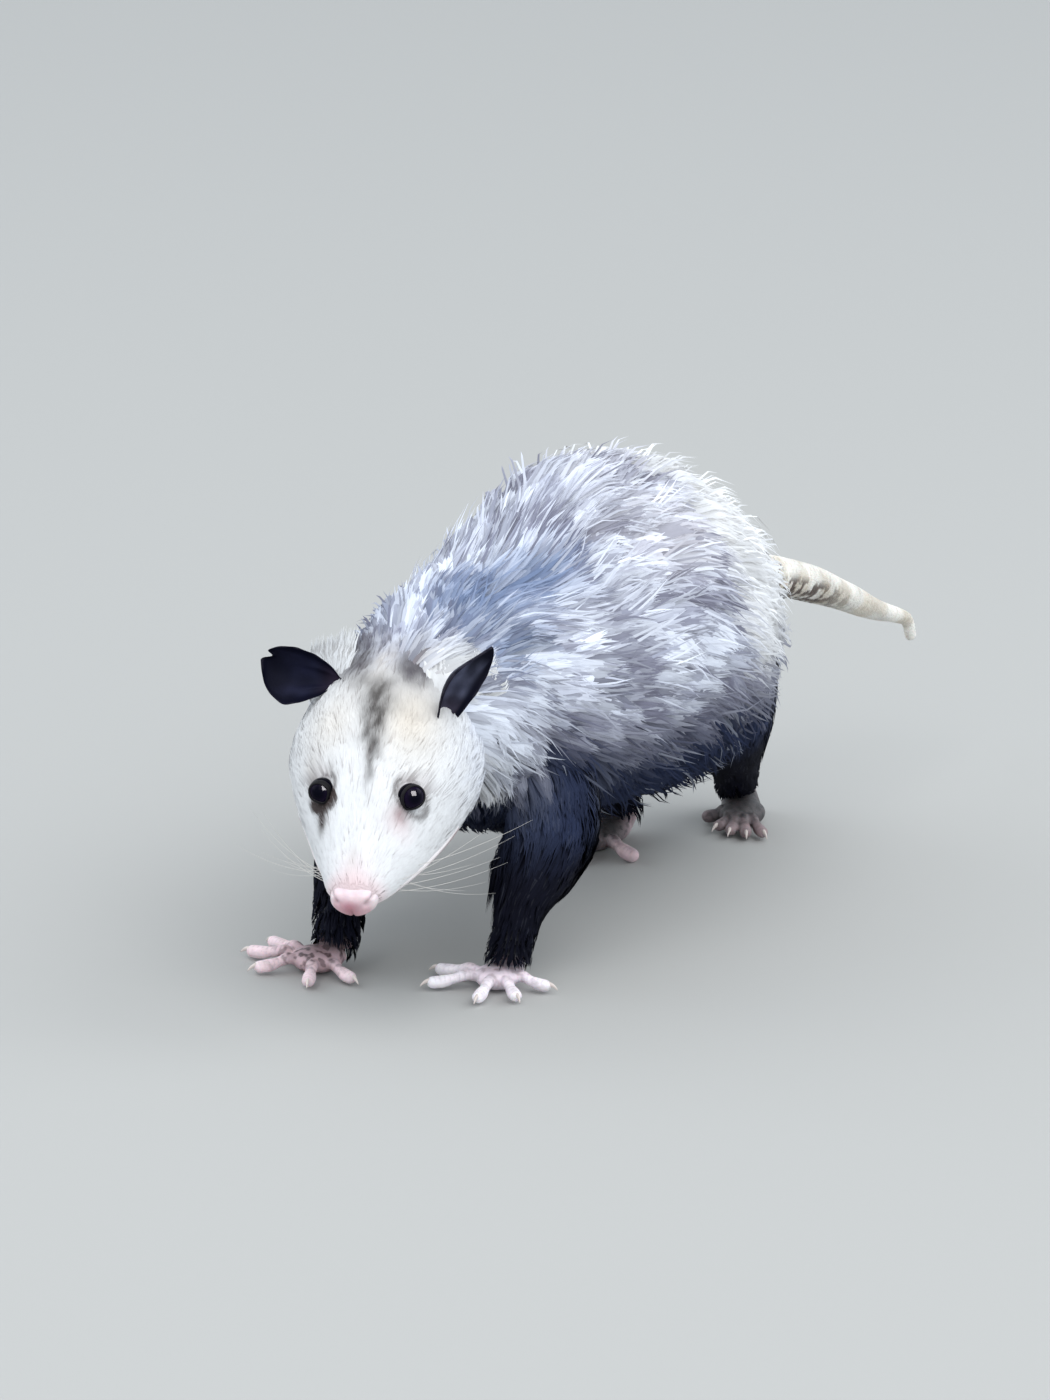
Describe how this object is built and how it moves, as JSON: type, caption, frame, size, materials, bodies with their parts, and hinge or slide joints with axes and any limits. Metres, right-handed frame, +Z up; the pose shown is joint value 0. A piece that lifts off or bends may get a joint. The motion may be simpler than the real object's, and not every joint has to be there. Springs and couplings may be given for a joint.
{
  "type": "virginia opossum figure",
  "caption": "Life-size still figure of a Virginia opossum in mid-step, head low and turned to its left, short blunt tail, shaggy grey coat and white face.",
  "frame": {"origin": "on the floor, at the centre of the figure's bounding box seen from above", "axes": "+Z up, -Y the way the body walks, the tail to +Y, +X the animal's own left side"},
  "size_m": [0.1664, 0.5964, 0.2303],
  "materials": {
    "coat": "long shaggy guard hair, white-tipped over slate-grey and blackish underfur, mottled along the flanks",
    "dark_fur": "black to dark slate fur of legs, chest and belly, longer behind the elbows and thighs",
    "face_fur": "short white to cream fur with a dusky stripe from forehead to crown",
    "ear_skin": "thin naked black skin with a paler worn rim, satin",
    "pink_skin": "bare pink skin of nose and toes, finely creased, slightly moist on the nose",
    "tail_skin": "scaly cream-white skin with brown blotches near the root and sparse fine bristles",
    "claw": "small pale horn claws, translucent looking",
    "eye": "deep black wet eye with no visible iris"
  },
  "bodies": {
    "root": {"head": "face_fur", "nose": "pink_skin", "ear_left": "ear_skin", "ear_right": "ear_skin", "eye_left": "eye", "eye_right": "eye", "neck": "coat", "torso": "coat", "foreleg_left": "dark_fur", "foreleg_right": "dark_fur", "hindleg_left": "dark_fur", "hindleg_right": "dark_fur", "forefoot_left": "pink_skin", "forefoot_right": "pink_skin", "hindfoot_left": "pink_skin", "hindfoot_right": "pink_skin", "tail_base": "tail_skin", "tail_middle": "tail_skin", "tail_tip": "tail_skin"}
  },
  "joints": []
}
